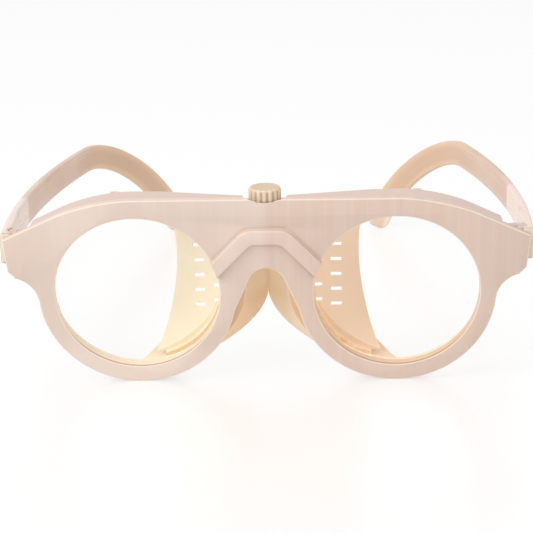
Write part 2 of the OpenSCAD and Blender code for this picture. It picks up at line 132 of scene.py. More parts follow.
class Finish:
    """A material, or the world, and the one way of adding nodes to it."""

    def __init__(self, name, kind=bpy.data.materials):
        self.owner = kind.new(name)
        self.owner.use_nodes = True
        self.tree = self.owner.node_tree
        self.tree.nodes.clear()

    def node(self, kind, settings=None, values=None, output=0):
        """Adds a node: its settings first, then the values or links of its sockets."""
        made = self.tree.nodes.new(kind)
        for key, value in (settings or {}).items():
            setattr(made, key, value)
        for key, value in (values or {}).items():
            if isinstance(value, Wire):
                self.tree.links.new(value.socket, made.inputs[key])
            else:
                made.inputs[key].default_value = value
        return Wire(self, made.outputs[output]) if len(made.outputs) else made

    def place(self):
        """Object coordinates, in metres."""
        return self.node("ShaderNodeTexCoord", output="Object")

    def facing(self):
        """The true normal, without rounding or bump."""
        return self.node("ShaderNodeNewGeometry", output="True Normal")

    def seen(self):
        """1 for rays from the camera, off mirrors and through glass."""
        camera, glossy, through = (
            self.node("ShaderNodeLightPath", output=f"Is {kind} Ray")
            for kind in ("Camera", "Glossy", "Transmission"))
        return camera.most(glossy).most(through)

    def part(self, vector, axis):
        return self.node("ShaderNodeSeparateXYZ", None, {0: vector}, output="XYZ".index(axis))

    def stretched(self, vector, scale):
        return self.node("ShaderNodeVectorMath", {"operation": "MULTIPLY"}, {0: vector, 1: scale})

    def dot(self, first, second):
        settings = {"operation": "DOT_PRODUCT"}
        return self.node("ShaderNodeVectorMath", settings, {0: first, 1: second}, output="Value")

    def noise(self, vector, scale, detail=2.0, roughness=0.5):
        values = {"Vector": vector, "Scale": scale, "Detail": detail, "Roughness": roughness}
        return self.node("ShaderNodeTexNoise", None, values)

    def ramp(self, value, low, high):
        """0 at low, 1 at high, and even between them."""
        settings = {"interpolation_type": "SMOOTHSTEP", "clamp": True}
        values = {"Value": value, "From Min": low, "From Max": high}
        return self.node("ShaderNodeMapRange", settings, values)

    def mix(self, share, first, second):
        settings = {"data_type": "RGBA", "blend_type": "MIX"}
        values = {0: share, 6: first, 7: second}
        return self.node("ShaderNodeMix", settings, values, output=2)

    def mottled(self, drift, dark, body):
        """Slow drifts between two tints."""
        return self.mix(self.ramp(drift, 0.3, 0.72), dark, body)

    def bump(self, height, strength, distance, normal=None):
        values = {"Height": height, "Strength": strength, "Distance": distance}
        if normal is not None:
            values["Normal"] = normal
        return self.node("ShaderNodeBump", None, values)

    def surface(self, **sockets):
        """The shader itself; names with underscores are socket names with spaces."""
        values = {key.replace("_", " "): value for key, value in sockets.items()}
        return self.show(self.node("ShaderNodeBsdfPrincipled", None, values))

    def show(self, shader, kind="Material"):
        """Wires the shader to the output and gives back what it dresses."""
        self.node(f"ShaderNodeOutput{kind}", None, {"Surface": shader})
        return self.owner


# The looks: masks that the finishes share, then one function for each finish
def colour(red, green, blue):
    """An sRGB colour written as 0 to 255, as the linear colour that sockets hold."""
    def linear(value):
        value = value / 255
        return value / 12.92 if value <= 0.04045 else ((value + 0.055) / 1.055) ** 2.4
    return (linear(red), linear(green), linear(blue), 1.0)


def edge_highlight_share(finish, radius, low, high):
    """1 along outer and inner edges, where edge highlights are painted, 0 on flat ground, and the
    rounded normal it comes from.
    """
    rounded = finish.node("ShaderNodeBevel", {"samples": 4}, {"Radius": radius})
    return finish.ramp(1.0 - finish.dot(rounded, finish.facing()), low, high), rounded


def crevice_shade_share(finish, reach, low, high):
    """1 deep in inner corners of the piece itself, where painted shade goes, 0 on open ground."""
    settings = {"samples": 6, "only_local": True}
    bare = finish.node("ShaderNodeAmbientOcclusion", settings, {"Distance": reach}, output="AO")
    return finish.ramp(1.0 - bare, low, high)


def front_rounds(finish):
    """1 on the small rounds between the front face and the outlines, where highlights are painted."""
    ahead = (0.0, -math.cos(LEAN), -math.sin(LEAN))
    forward = finish.dot(finish.facing(), ahead)
    return finish.ramp(forward, 0.1, 0.25) * (1.0 - finish.ramp(forward, 0.972, 0.995))


def on_plate(finish, spot):
    """How far a place lies from the nearer lens axis, and how deep behind the front face, in metres."""
    across, back, height = (finish.part(spot, axis) for axis in "XYZ")
    beside = across.size() - LENS_X / 1000
    back = back + MIDDLE_Y / 1000
    height = height + FLOOR_Z / 1000
    up = height * math.cos(LEAN) - back * math.sin(LEAN)
    deep = height * math.sin(LEAN) + back * math.cos(LEAN)
    return (beside * beside + up * up) ** 0.5, deep


def front_plastic():
    """Satin pinkish beige, pinker right of its middle seam, with upright flow bands; painted highlights
    on the edges and the rib, painted shade on the lugs, in crevices and on the opening's wall with a
    painted shadow line, and painted bounce light low on the rings.
    """
    finish = Finish("front_plastic")
    spot = finish.place()
    across = finish.part(spot, "X")
    drift = finish.noise(spot, 26.0)
    bands = finish.noise(finish.stretched(spot, (420.0, 20.0, 9.0)), 1.0, 3.0, 0.6)
    grain = finish.noise(spot, GRAIN)
    edge, rounded = edge_highlight_share(finish, 0.0006, 0.01, 0.1)
    crevice_shade = crevice_shade_share(finish, 0.0016, 0.08, 0.38)
    from_lens, deep = on_plate(finish, spot)
    side = across.size()
    height = finish.part(spot, "Z")
    base = finish.mottled(drift, FRONT_DARK, FRONT_BODY)
    right = finish.ramp(across, -0.0003, 0.0009)
    # Painted bounce light: the rings lighter towards their bottoms
    base = finish.mix((1.0 - finish.ramp(height, 0.003, 0.016)) * 0.5, base, FRONT_LOW_BOUNCE_LIGHT)
    base = finish.mix(right * 0.62, base, FRONT_RIGHT)
    base = finish.mix(finish.ramp(bands, 0.4, 0.75) * 0.3, base, FRONT_BAND)
    seam = 1.0 - finish.ramp(side, 0.0002, 0.0011)
    base = finish.mix(seam * 0.16, base, FRONT_SEAM)
    # Painted shade: the lugs darker
    base = finish.mix(finish.ramp(side, 0.056, 0.068) * 0.3, base, FRONT_LUG_SHADE)
    # Painted highlight: the rib's raised face lighter than the plate
    off_rib = finish.ramp(deep, -0.0003, 0.0001)
    base = finish.mix((1.0 - off_rib) * 0.12, base, FRONT_RIB_HIGHLIGHT)
    # Painted highlights along the edges and the rounds of the front face
    light = (edge * 0.4).most(front_rounds(finish)) * (1.0 - crevice_shade)
    base = finish.mix(light * (0.2 + off_rib * 0.5), base, FRONT_EDGE_HIGHLIGHT)
    # Painted shade in the inner corners
    base = finish.mix(crevice_shade * 0.55, base, FRONT_CREVICE_SHADE)
    # Painted shade on the opening's wall, darker on the right
    bore = 1.0 - finish.ramp(from_lens, 0.02378, 0.02384)
    base = finish.mix(bore * 0.8, base, finish.mix(right, FRONT_BORE_SHADE, FRONT_BORE_SHADE_RIGHT))
    # A painted shadow line just behind the front face, along the foot of the opening
    gap_shadow = bore * (1.0 - finish.ramp(deep, 0.0007, 0.0010))
    gap_shadow = gap_shadow * (1.0 - finish.ramp(height, 0.008, 0.020))
    base = finish.mix(gap_shadow * 0.75, base, FRONT_GAP_SHADOW)
    return finish.surface(
        Base_Color=base,
        Roughness=0.4 + drift * 0.1 + grain * 0.06,
        IOR=1.46,
        Normal=finish.bump(bands * 0.6 + grain * 0.4, 0.05, 0.00008, rounded),
    )


def rear_plastic():
    """Pinkish hood and hinge ears, with warm cream shields and lobes; painted shade on the right
    shield, the lobes and the flank beside the arch, and painted highlights on the edges.
    """
    finish = Finish("rear_plastic")
    spot = finish.place()
    across, back, height = (finish.part(spot, axis) for axis in "XYZ")
    side = across.size()
    hood = finish.ramp(height, 0.044, 0.0465) * (1.0 - finish.ramp(back, -0.0680, -0.0670))
    ears = finish.ramp(side, 0.0575, 0.0605)
    pink = hood.most(ears)
    near = 1.0 - finish.ramp(side, 0.0215, 0.0225)
    inward = (finish.part(finish.facing(), "X") * across < -0.0006) * near
    middle = 1.0 - finish.ramp(side, 0.0115, 0.0125)
    lobe = middle.most(inward) * finish.ramp(back, -0.0722, -0.0716)
    from_lens = on_plate(finish, spot)[0]
    flank = near * (1.0 - finish.ramp(back, -0.0665, -0.0655))
    flank = flank * (1.0 - finish.ramp(height, 0.029, 0.031))
    flank = flank * finish.ramp(from_lens, 0.0262, 0.0268)
    right = finish.ramp(across, -0.001, 0.001)
    drift = finish.noise(spot, 40.0)
    streak = finish.noise(finish.stretched(spot, (90.0, 30.0, 260.0)), 1.0, 3.0, 0.6)
    grain = finish.noise(spot, GRAIN)
    edge = edge_highlight_share(finish, 0.0005, 0.02, 0.22)[0]
    cream = finish.mottled(drift, REAR_DARK, REAR_BODY)
    cream = finish.mix(finish.ramp(streak, 0.45, 0.75) * 0.3, cream, REAR_STREAK)
    # Painted shade: the right shield darker and more amber than the left
    cream = finish.mix(right * 0.8, cream, REAR_RIGHT_SHADE)
    # Painted shade on the lobes behind the arch: less on the right lobe, and lighter towards their top
    lobe_shade = finish.mix(right, REAR_LOBE_SHADE, REAR_LOBE_RIGHT_SHADE)
    lobe_shade = finish.mix(finish.ramp(height, 0.0215, 0.0275) * 0.85, lobe_shade, REAR_LOBE_TOP_LIGHT)
    cream = finish.mix(lobe * 0.85, cream, lobe_shade)
    # Painted shade on the flank beside the arch
    cream = finish.mix(flank * 0.9, cream, REAR_FLANK_SHADE)
    base = finish.mix(pink, cream, REAR_HOOD)
    # Painted highlights along the edges
    base = finish.mix(edge * 0.55, base, REAR_EDGE_HIGHLIGHT)
    return finish.surface(
        Base_Color=base,
        Roughness=0.36 + drift * 0.1 + grain * 0.05,
        IOR=1.46,
        Normal=finish.bump(streak * 0.5 + grain * 0.5, 0.05, 0.00006),
    )


def temple_plastic():
    """The strips: streaks that run along them, a paler, glossier root, painted shade as a darker middle
    band on the hook, painted light on the tip, a painted highlight on the front end, and painted edge
    highlights.
    """
    finish = Finish("temple_plastic")
    spot = finish.place()
    strip = finish.node("ShaderNodeAttribute", {"attribute_name": "strip"}, None, output="Vector")
    over = finish.part(strip, "X").size()
    along = finish.part(strip, "Y")
    drift = finish.noise(spot, 34.0)
    streak = finish.noise(finish.stretched(strip, (9.0, 26.0, 300.0)), 1.0, 4.0, 0.62)
    grain = finish.noise(spot, GRAIN)
    right = finish.ramp(finish.part(spot, "X"), -0.001, 0.001)
    root = 1.0 - finish.ramp(along - right * 0.011, 0.0428, 0.0446)
    tip = finish.ramp(along, 0.166, 0.174)
    band_shade = (1.0 - finish.ramp(over, 0.35, 0.8)) * finish.ramp(along, 0.09, 0.125)
    edge, rounded = edge_highlight_share(finish, 0.0006, 0.01, 0.22)
    base = finish.mottled(drift, TEMPLE_DARK, TEMPLE_BODY)
    base = finish.mix(finish.ramp(streak, 0.45, 0.78) * 0.55, base, TEMPLE_STREAK)
    base = finish.mix(finish.ramp(along, 0.09, 0.14) * 0.5, base, TEMPLE_HOOK)
    # Painted light: the tip paler
    base = finish.mix(tip * 0.7, base, TEMPLE_TIP_LIGHT)
    base = finish.mix(root * 0.75, base, TEMPLE_ROOT)
    # Painted highlight: the strip's front end at the lug paler
    base = finish.mix((1.0 - finish.ramp(along, 0.003, 0.005)) * 0.8, base, TEMPLE_END_HIGHLIGHT)
    # Painted shade: a darker band along the middle of the hook
    base = finish.mix(band_shade * 0.45, base, TEMPLE_BAND_SHADE)
    # Painted highlights along the edges
    base = finish.mix(edge * 0.5, base, TEMPLE_EDGE_HIGHLIGHT)
    return finish.surface(
        Base_Color=base,
        Roughness=0.36 + streak * 0.12 - root * 0.14,
        IOR=1.46,
        Normal=finish.bump(
            (streak * 0.6 + grain * 0.12) * (1.0 - root * 0.6), 0.08, 0.00010, rounded),
    )


def knob_plastic():
    """Cream plastic with rubbed rib crests, painted highlights on its edges, and painted shade in the
    grooves and on its flat top.
    """
    finish = Finish("knob_plastic")
    spot = finish.place()
    drift = finish.noise(spot, 120.0)
    rub = finish.noise(finish.stretched(spot, (300.0, 300.0, 120.0)), 1.0, 3.0, 0.6)
    grain = finish.noise(spot, 2600.0)
    axis = (0.0, (SCREW_Y - MIDDLE_Y) / 1000, 0.0)
    aside = finish.node("ShaderNodeVectorMath", {"operation": "SUBTRACT"}, {0: spot, 1: axis})
    aside = finish.stretched(aside, (1.0, 1.0, 0.0))
    from_axis = finish.node(
        "ShaderNodeVectorMath", {"operation": "LENGTH"}, {0: aside}, output="Value")
    groove_shade = 1.0 - finish.ramp(from_axis, 0.0041, 0.00448)
    below = 1.0 - finish.ramp(finish.part(spot, "Z"), 0.0590, 0.0596)
    edge, rounded = edge_highlight_share(finish, 0.0003, 0.02, 0.25)
    base = finish.mottled(drift, KNOB_DARK, KNOB_BODY)
    # Painted shade in the grooves between the ribs
    base = finish.mix(groove_shade * below * 0.75, base, KNOB_GROOVE_SHADE)
    base = finish.mix(finish.ramp(rub, 0.45, 0.8) * 0.35, base, KNOB_RUB_AND_HIGHLIGHT)
    # Painted highlights along the edges, in the colour of the rubbed crests
    base = finish.mix(edge * 0.45, base, KNOB_RUB_AND_HIGHLIGHT)
    # Painted shade: the flat top darker
    upward = finish.part(finish.facing(), "Z")
    base = finish.mix(finish.ramp(upward, 0.85, 0.97) * 0.9, base, KNOB_TOP_SHADE)
    return finish.surface(
        Base_Color=base,
        Roughness=0.38 + rub * 0.12 + grain * 0.05,
        IOR=1.46,
        Normal=finish.bump(grain, 0.05, 0.00005, rounded),
    )


def clear_lens():
    """Thin clear glass, nearly unseen square on, with a little sheen at a slant and a ground rim; the
    rim and an opaque light band over the seat behind it glow with painted light.
    """
    finish = Finish("clear_lens")
    spot = finish.place()
    smear = finish.noise(spot, 60.0, 3.0, 0.6)
    slant = finish.node("ShaderNodeLayerWeight", None, {"Blend": 0.35}, output=1)
    from_lens, deep = on_plate(finish, spot)
    rim = finish.ramp(from_lens, 0.02485, 0.02495)
    side = finish.part(spot, "X").size()
    # The lens's back face over the seat is made opaque and light, painted light over the seat's shade
    backed = finish.ramp(from_lens, 0.0236, 0.0237) * (1.0 - finish.ramp(side, 0.0302, 0.0304))
    backed = backed * (deep > LENS_BACK / 1000)
    glow = finish.mix(rim, BLACK, RIM_PAINTED_GLOW)
    glow = finish.mix(backed, glow, SEAT_PAINTED_GLOW)
    rim = rim.most(backed)
    return finish.surface(
        Base_Color=finish.mix(rim, CLEAR, GROUND_RIM_AND_SEAT_LIGHT),
        Roughness=0.03 + finish.ramp(smear, 0.5, 0.8) * 0.05 + rim * 0.5,
        IOR=1.5,
        # Painted glow on the ground rim and over the seat
        Emission_Color=glow,
        Emission_Strength=0.36,
        Alpha=0.02 + slant * 0.1 + rim * 0.85,
    )


def worked_metal(name, body, dark, rough):
    """Turned or plated metal with fine rings of wear."""
    finish = Finish(name)
    spot = finish.place()
    wear = finish.noise(spot, 900.0, 3.0, 0.6)
    turning = finish.noise(finish.stretched(spot, (40.0, 40.0, 9000.0)), 1.0)
    return finish.surface(
        Base_Color=finish.mix(finish.ramp(wear, 0.4, 0.75), body, dark),
        Metallic=1.0,
        Roughness=rough + turning * 0.15,
        Normal=finish.bump(turning, 0.15, 0.00003),
    )


GRAIN = 2400.0

# The front frame: body, right half, seam, lugs in painted shade, low rings in painted bounce light, the
# rib's painted highlight, painted shade in crevices, painted edge highlights, and the opening's wall in
# painted shade with a painted shadow line
FRONT_BODY = colour(224, 204, 190)
FRONT_DARK = colour(217, 196, 182)
FRONT_BAND = colour(230, 213, 200)
FRONT_RIGHT = colour(212, 184, 168)
FRONT_SEAM = colour(205, 184, 172)
FRONT_LUG_SHADE = colour(200, 178, 162)
FRONT_LOW_BOUNCE_LIGHT = colour(244, 226, 212)
FRONT_RIB_HIGHLIGHT = colour(240, 217, 206)
FRONT_CREVICE_SHADE = colour(176, 148, 130)
FRONT_EDGE_HIGHLIGHT = colour(246, 230, 212)
FRONT_BORE_SHADE = colour(240, 222, 202)
FRONT_BORE_SHADE_RIGHT = colour(226, 194, 164)
FRONT_GAP_SHADOW = colour(172, 134, 104)

# The rear frame: shields, the right shield's painted shade, the lobes' painted shade with less on the
# right lobe and a lighter top, painted shade on the arch's wall, the hood, and painted edge highlights
REAR_BODY = colour(255, 243, 214)
REAR_DARK = colour(251, 235, 203)
REAR_STREAK = colour(255, 248, 228)
REAR_RIGHT_SHADE = colour(253, 217, 183)
REAR_LOBE_SHADE = colour(246, 210, 170)
REAR_LOBE_RIGHT_SHADE = colour(255, 232, 202)
REAR_LOBE_TOP_LIGHT = colour(255, 238, 212)
REAR_FLANK_SHADE = colour(226, 186, 146)
REAR_HOOD = colour(212, 189, 178)
REAR_EDGE_HIGHLIGHT = colour(255, 242, 222)

# The temples: body, streaks, root, end at the lug with a painted highlight, middle band of painted
# shade, hook, tip in painted light and painted edge highlights
TEMPLE_BODY = colour(222, 194, 176)
TEMPLE_DARK = colour(210, 180, 162)
TEMPLE_STREAK = colour(236, 214, 198)
TEMPLE_ROOT = colour(243, 223, 211)
TEMPLE_END_HIGHLIGHT = colour(228, 208, 186)
TEMPLE_BAND_SHADE = colour(196, 160, 138)
TEMPLE_HOOK = colour(226, 194, 150)
TEMPLE_TIP_LIGHT = colour(252, 238, 218)
TEMPLE_EDGE_HIGHLIGHT = colour(240, 220, 202)

# The knob with painted shade in its grooves and on its top and painted edge highlights, the lens's rim
# and seat with their painted glow, and the metals
KNOB_BODY = colour(232, 212, 184)
KNOB_DARK = colour(222, 200, 170)
KNOB_GROOVE_SHADE = colour(176, 150, 122)
KNOB_RUB_AND_HIGHLIGHT = colour(242, 226, 202)
KNOB_TOP_SHADE = colour(204, 184, 154)
GROUND_RIM_AND_SEAT_LIGHT = colour(250, 234, 208)
SEAT_PAINTED_GLOW = colour(248, 222, 186)
RIM_PAINTED_GLOW = colour(110, 98, 81)
STEEL_BRIGHT = colour(196, 197, 200)
STEEL_DULL = colour(150, 150, 152)
BRASS_BRIGHT = colour(214, 184, 120)
BRASS_DULL = colour(170, 138, 80)
CLEAR = (0.93, 0.96, 0.95, 1.0)
BLACK = (0.0, 0.0, 0.0, 1.0)

SLOT_FINISH = {
    "front_plastic": front_plastic(),
    "rear_plastic": rear_plastic(),
    "temple_plastic": temple_plastic(),
    "knob_plastic": knob_plastic(),
    "clear_lens": clear_lens(),
    "zinc_steel": worked_metal("zinc_steel", STEEL_BRIGHT, STEEL_DULL, 0.3),
    "insert_brass": worked_metal("insert_brass", BRASS_BRIGHT, BRASS_DULL, 0.32),
}
for entry in frame["record"]["subparts"]:
    carried = frame["nodes"][entry["node"]]
    for held in carried.material_slots:
        held.material = SLOT_FINISH[entry["material_slot"]]


# Modelling by hand: primitives, slices, rounds and cuts on one piece at a time
def rest():
    """Object mode with nothing chosen."""
    if bpy.context.mode != "OBJECT":
        bpy.ops.object.mode_set(mode="OBJECT")
    bpy.ops.object.select_all(action="DESELECT")


def take(piece):
    """Only this piece is chosen and active."""
    rest()
    piece.select_set(True)
    bpy.context.view_layer.objects.active = piece


def placed(name):
    """The new primitive, with its place moved into its mesh."""
    piece = bpy.context.object
    piece.name = name
    bpy.ops.object.transform_apply(location=True, rotation=True, scale=True)
    return piece


def bar(name, low, high):
    """A box between two corners."""
    rest()
    low, high = Vector(low), Vector(high)
    bpy.ops.mesh.primitive_cube_add(size=1, location=(low + high) / 2, scale=high - low)
    return placed(name)


def rod(name, radius, start, end, sides=64):
    """A cylinder between the centres of its ends."""
    rest()
    start, end = Vector(start), Vector(end)
    along = end - start
    bpy.ops.mesh.primitive_cylinder_add(
        vertices=sides, radius=radius, depth=along.length, location=(start + end) / 2,
        rotation=along.to_track_quat("Z", "Y").to_euler())
    return placed(name)


def ball(name, radius, z, segments, rings):
    """A sphere on the knob's axis."""
    rest()
    bpy.ops.mesh.primitive_uv_sphere_add(
        segments=segments, ring_count=rings, radius=radius, location=(0, SCREW_Y, z))
    return placed(name)


def choose(piece, kind, test):
    """Edit mode with the parts that pass the test, by place, by ends, or by centre and normal."""
    take(piece)
    mesh = piece.data
    for part in (mesh.vertices, mesh.edges, mesh.polygons):
        part.foreach_set("select", [False] * len(part))
    if kind == "VERT":
        for vertex in mesh.vertices:
            vertex.select = bool(test(vertex.co))
    elif kind == "EDGE":
        for edge in mesh.edges:
            first, last = (mesh.vertices[i].co for i in edge.vertices)
            edge.select = bool(test(first, last))
    else:
        for face in mesh.polygons:
            face.select = bool(test(face.center, face.normal))
    bpy.context.tool_settings.mesh_select_mode = [kind == k for k in ("VERT", "EDGE", "FACE")]
    bpy.ops.object.mode_set(mode="EDIT")


def slice_off(piece, point, normal):
    """Cuts away what lies beyond a plane and closes the cut."""
    take(piece)
    bpy.ops.object.mode_set(mode="EDIT")
    bpy.ops.mesh.select_all(action="SELECT")
    bpy.ops.mesh.bisect(
        plane_co=point, plane_no=Vector(normal).normalized(), use_fill=True, clear_outer=True)
    bpy.ops.object.mode_set(mode="OBJECT")


def fillet(piece, test, length, segments):
    """Rounds the chosen edges; length is how far the round starts from the edge."""
    choose(piece, "EDGE", test)
    bpy.ops.mesh.bevel(offset=length, offset_type="OFFSET", segments=segments, affect="EDGES")
    bpy.ops.object.mode_set(mode="OBJECT")


def crossing(height):
    """A test for the edges at a height that run from front to back."""
    return lambda a, b: (
        abs(a.z - height) < 0.01 and abs(b.z - height) < 0.01 and abs(a.x - b.x) < 0.01)


def work(piece, tool, operation):
    """Joins a tool to a piece or cuts the piece with it, and puts the tool away."""
    take(piece)
    step = piece.modifiers.new("step", "BOOLEAN")
    step.operation = operation
    step.solver = "EXACT"
    step.object = tool
    bpy.ops.object.modifier_apply(modifier=step.name)
    bpy.data.objects.remove(tool)


def join(piece, tool):
    work(piece, tool, "UNION")


def cut(piece, tool):
    work(piece, tool, "DIFFERENCE")


def soften(piece, width, segments=3, angle=30, smooth=35):
    """A small round along every sharp edge, then smooth shading up to an angle."""
    take(piece)
    bpy.ops.object.mode_set(mode="EDIT")
    bpy.ops.mesh.select_all(action="SELECT")
    bpy.ops.mesh.remove_doubles(threshold=0.01)
    bpy.ops.mesh.dissolve_limited(angle_limit=math.radians(0.5))
    bpy.ops.object.mode_set(mode="OBJECT")
    edge = piece.modifiers.new("edge", "BEVEL")
    edge.width = width
    edge.segments = segments
    edge.limit_method = "ANGLE"
    edge.angle_limit = math.radians(angle)
    edge.use_clamp_overlap = False
    edge.harden_normals = False
    bpy.ops.object.modifier_apply(modifier=edge.name)
    bpy.ops.object.shade_smooth_by_angle(angle=math.radians(smooth))


def settle(piece, body, finish_slot, *replaced):
    """Brings a finished piece to metres on the floor and hands it to its body."""
    take(piece)
    piece.scale = (0.001, 0.001, 0.001)
    piece.location = (0, -MIDDLE_Y / 1000, -FLOOR_Z / 1000)
    bpy.ops.object.transform_apply(location=True, rotation=True, scale=True)
    piece.data.materials.clear()
    piece.data.materials.append(SLOT_FINISH[finish_slot])
    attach(piece, body)
    if replaced:
        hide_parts(*replaced)


def leaned(depth, height=0.0, x=0.0):
    """A point of the leaning plate: its depth behind the front face and its height up the face."""
    return Vector((
        x, depth * math.cos(LEAN) - height * math.sin(LEAN),
        depth * math.sin(LEAN) + height * math.cos(LEAN)))


BACKWARD = leaned(1)

# Half the depth of what is sliced to the plate later, the tongue's underside and the screw's way
ROUGH = 9
TONGUE_LOW = 24.45
WAY_R = 1.8


def front_plate():
    """The flat moulding: brow, lugs, two rings, nose arch and the chevron rib, edges softened."""
    past_lugs, brow_low = 78, 5.3
    plate = bar("front_frame_moulding", (-past_lugs, -ROUGH, brow_low), (past_lugs, ROUGH, BROW_H))
    fall = Vector((BROW_FLAT + BROW_R * math.sin(BROW_SLOPE), 0,
                   BROW_H - BROW_R + BROW_R * math.cos(BROW_SLOPE)))
    for side in BOTH:
        slice_off(plate, (side * fall.x, 0, fall.z),
                  (side * math.sin(BROW_SLOPE), 0, math.cos(BROW_SLOPE)))
    fillet(plate, crossing(BROW_H), BROW_R * math.tan(BROW_SLOPE / 2), 18)
    lug_top = fall.z - (LUG_REACH - fall.x) * math.tan(BROW_SLOPE)
    lug_h, lug_lean = 9.84, 0.9
    corner_x, corner_z = 73.9, 7.4
    for side in BOTH:
        slice_off(plate, (side * LUG_REACH, 0, lug_top), (side * lug_h, 0, -lug_lean))
        slice_off(plate, (side * corner_x, 0, corner_z), (side, 0, -1))
    join(plate, bar("bridge", (-LENS_X, -8.9, -8), (LENS_X, 8.9, 6)))
    for side in BOTH:
        lug_web(plate, side)
    cut(plate, nose_arch())
    for side in BOTH:
        x = side * LENS_X
        join(plate, rod("ring", RING_R, (x, -8.7, 0), (x, 8.7, 0), 180))
    slice_off(plate, (0, 0, 0), -BACKWARD)
    slice_off(plate, leaned(FRONT_T), BACKWARD)

    join(plate, chevron())
    join(plate, tongue())
    for side in BOTH:
        x = side * LENS_X
        cut(plate, rod("opening", OPENING_R, leaned(-ROUGH, 0, x), leaned(ROUGH, 0, x), 160))
    cut(plate, clamp_well())
    cut(plate, rod("screw_way", WAY_R, (0, SCREW_Y, 22), (0, SCREW_Y, 30), 48))
    cut(plate, bar("slot_way", (-WAY_R, SCREW_Y, 22), (WAY_R, 12, 30)))
    cut(plate, nose_pocket())
    soften(plate, 0.32)
    # Points that the rounds pushed forwards go back inside the solid's outline
    foremost, back_by = -4.17, 0.14
    choose(plate, "VERT", lambda spot: spot.y < foremost)
    bpy.ops.transform.translate(value=(0, back_by, 0))
    bpy.ops.object.mode_set(mode="OBJECT")
    return plate


def lug_web(plate, side):
    """Fills the corner between a ring and its lug, with a round underneath."""
    inner, outer, low, high = 50, 72.05, -2.3, 6
    round_x, round_z, round_r = side * 74.18, -3, 8.6
    ends = sorted((side * inner, side * outer))
    web = bar("web", (ends[0], -8.8, low), (ends[1], 8.8, high))
    cut(web, rod("web_round", round_r, (round_x, -10, round_z), (round_x, 10, round_z), 96))
    join(plate, web)


def nose_pocket():
    """The cutter for the pocket in the plate's back, under the tongue."""
    half_w, low, wall = 4.3, 17.9, 1.4
    pocket = bar("nose_pocket", (-half_w, -3, low), (half_w, 6, TONGUE_LOW))
    slice_off(pocket, leaned(wall), -BACKWARD)
    return pocket


def nose_arch():
    """The cutter for the nose: flared flanks under a round crown."""
    flare = math.radians(23)
    crown_z, crown_r, touch_r = 2.5, 5.32, 5.3
    touch_x, touch_z = touch_r * math.cos(flare), crown_z + touch_r * math.sin(flare)
    arch = bar("arch", (-20, -10, -22), (20, 10, touch_z))
    for side in BOTH:
        slice_off(arch, (side * touch_x, 0, touch_z), (side * math.cos(flare), 0, math.sin(flare)))
    join(arch, rod("crown", crown_r, (0, -10.1, crown_z), (0, 10.1, crown_z), 96))
    return arch


def chevron():
    """The rib: a flat-topped chevron a little over a millimetre proud of the plate."""
    arm = math.radians(47)
    top, width, flat, proud = 20.2, 4.3, 4.2, 1.37
    low = top - width
    turn_x = flat + width * math.tan(arm / 2)
    rib = bar("rib", (-26, -proud, -6), (26, FRONT_T / 2, top))
    for side in BOTH:
        slice_off(rib, (side * turn_x, 0, top), (side * math.sin(arm), 0, math.cos(arm)))
    fillet(rib, crossing(top), 2.2, 5)
    below = bar("below", (-30, -proud - 1, -9), (30, FRONT_T, low))
    for side in BOTH:
        slice_off(below, (side * flat, 0, low), (side * math.sin(arm), 0, math.cos(arm)))
    fillet(below, crossing(low), 1.2, 4)
    cut(rib, below)
    rib.rotation_euler = (LEAN, 0, 0)
    take(rib)
    bpy.ops.object.transform_apply(location=False, rotation=True, scale=False)
    return rib


def tongue():
    """The tongue that reaches back under the knob."""
    half_w, back, top = 5.9, 6.38, 26.64
    piece = bar("tongue", (-half_w, -4, TONGUE_LOW), (half_w, back, top))
    slice_off(piece, leaned(FRONT_T / 2), -BACKWARD)
    return piece


def clamp_well():
    """The shallow dish round the knob, with the flat spot for the washer."""
    dish_r, dish_rise, spot_r, spot_z = 10, 7.6, 4.75, 26.65
    well = ball("well", dish_r, BROW_H + dish_rise, 96, 48)
    join(well, rod("spot", spot_r, (0, SCREW_Y, spot_z), (0, SCREW_Y, 40)))
    return well


def knob():
    """The knob: sixteen ribs round a core, a round shoulder and a faintly dished top."""
    ribs, rib_r, core_r = 16, 0.62, 4.15
    dish_r, dish_deep, hole_r = 25, 0.3, 1.5
    grip = rod("clamp_knob_grip", core_r, (0, SCREW_Y, 25), (0, SCREW_Y, 33), 96)
    for i in range(ribs):
        around = math.radians(360 / ribs * i)
        x = (KNOB_R - rib_r) * math.cos(around)
        y = SCREW_Y + (KNOB_R - rib_r) * math.sin(around)
        join(grip, rod("rib", rib_r, (x, y, 24.9 - i * 0.01), (x, y, 33.1 + i * 0.01), 24))
    shoulder = rod("shoulder", KNOB_R, (0, SCREW_Y, KNOB_LOW), (0, SCREW_Y, KNOB_TOP), 128)
    fillet(shoulder, lambda a, b: a.z > KNOB_TOP - 0.01 and b.z > KNOB_TOP - 0.01, 0.9, 6)
    work(grip, shoulder, "INTERSECT")
    cut(grip, ball("dish", dish_r, KNOB_TOP + dish_r - dish_deep, 128, 96))
    cut(grip, rod("screw_hole", hole_r, (0, SCREW_Y, 25), (0, SCREW_Y, 30.1), 48))
    soften(grip, 0.12, segments=2)
    return grip


def bow_x(y):
    """How far out the strip's middle stands at a depth."""
    return BOW_REACH - BOW_R + math.sqrt(BOW_R ** 2 - (y - BOW_Y) ** 2)


def strip_axes(yaw, fall):
    """The strip's own axes as columns: outwards, ahead and up."""
    out = Vector((math.cos(yaw), math.sin(yaw), 0))
    ahead = Vector((
        -math.sin(yaw) * math.cos(fall), math.cos(yaw) * math.cos(fall), -math.sin(fall)))
    return Matrix((out, ahead, out.cross(ahead))).transposed()


